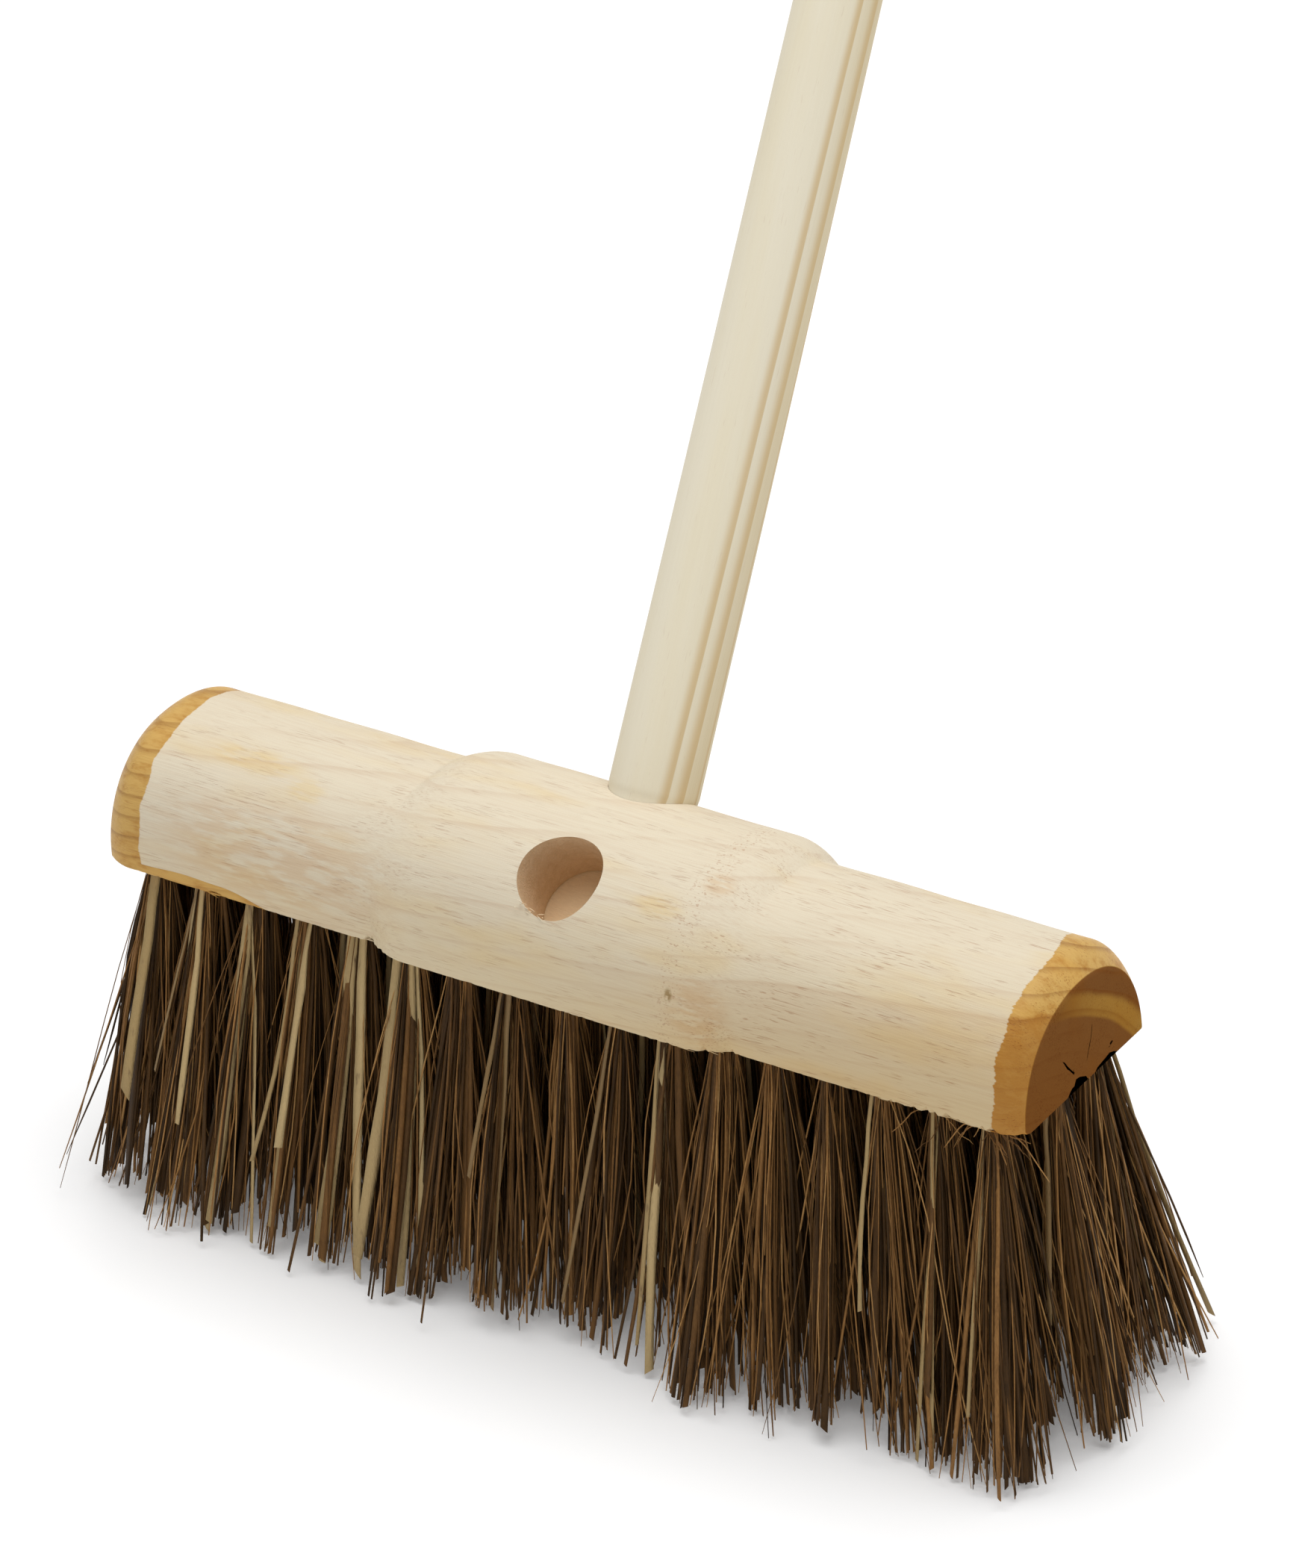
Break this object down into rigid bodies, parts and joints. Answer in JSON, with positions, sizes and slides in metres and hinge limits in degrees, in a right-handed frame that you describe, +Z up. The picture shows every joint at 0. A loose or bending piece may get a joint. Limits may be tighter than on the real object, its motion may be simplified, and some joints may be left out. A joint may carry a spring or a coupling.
{
  "type": "broom",
  "caption": "Yard broom: a half-round wooden stock with two angled handle sockets, stiff fibre tufts below it and a long round handle leaning back from the far socket.",
  "frame": {"origin": "centre of the sweeping face, on the plane of the tuft tips, below the middle of the stock", "axes": "+Z up from the tuft tips to the stock, +X along the stock, the handle leans towards +Y"},
  "size_m": [0.3518, 0.7838, 1.3074],
  "materials": {
    "stock_pine": "bare sanded pale pine, dipped in amber varnish at both ends",
    "handle_pine": "bare sanded pale pine with two darker grain lines",
    "nail_steel": "plain wire nail",
    "palm_fibre": "dark brown stiff palm fibre mixed with flat olive-beige cane strips"
  },
  "bodies": {
    "root": {"stock": "stock_pine", "handle": "handle_pine", "handle_nail": "nail_steel", "near_tuft_01": "palm_fibre", "near_tuft_02": "palm_fibre", "near_tuft_03": "palm_fibre", "near_tuft_04": "palm_fibre", "near_tuft_05": "palm_fibre", "near_tuft_06": "palm_fibre", "near_tuft_07": "palm_fibre", "near_tuft_08": "palm_fibre", "near_tuft_09": "palm_fibre", "near_tuft_10": "palm_fibre", "near_tuft_11": "palm_fibre", "near_tuft_12": "palm_fibre", "near_tuft_13": "palm_fibre", "near_tuft_14": "palm_fibre", "near_tuft_15": "palm_fibre", "near_tuft_16": "palm_fibre", "near_tuft_17": "palm_fibre", "far_tuft_01": "palm_fibre", "far_tuft_02": "palm_fibre", "far_tuft_03": "palm_fibre", "far_tuft_04": "palm_fibre", "far_tuft_05": "palm_fibre", "far_tuft_06": "palm_fibre", "far_tuft_07": "palm_fibre", "far_tuft_08": "palm_fibre", "far_tuft_09": "palm_fibre", "far_tuft_10": "palm_fibre", "far_tuft_11": "palm_fibre", "far_tuft_12": "palm_fibre", "far_tuft_13": "palm_fibre", "far_tuft_14": "palm_fibre", "far_tuft_15": "palm_fibre", "far_tuft_16": "palm_fibre", "far_tuft_17": "palm_fibre", "middle_tuft_pair_01": "palm_fibre", "middle_tuft_pair_02": "palm_fibre", "middle_tuft_pair_03": "palm_fibre", "middle_tuft_pair_04": "palm_fibre", "middle_tuft_pair_05": "palm_fibre", "middle_tuft_pair_06": "palm_fibre", "middle_tuft_pair_07": "palm_fibre", "middle_tuft_pair_08": "palm_fibre", "middle_tuft_pair_09": "palm_fibre", "middle_tuft_pair_10": "palm_fibre", "middle_tuft_pair_11": "palm_fibre", "middle_tuft_pair_12": "palm_fibre", "middle_tuft_pair_13": "palm_fibre", "middle_tuft_pair_14": "palm_fibre", "middle_tuft_pair_15": "palm_fibre", "middle_tuft_pair_16": "palm_fibre", "middle_tuft_pair_17": "palm_fibre", "middle_tuft_pair_18": "palm_fibre", "middle_tuft_pair_19": "palm_fibre"}
  },
  "joints": []
}
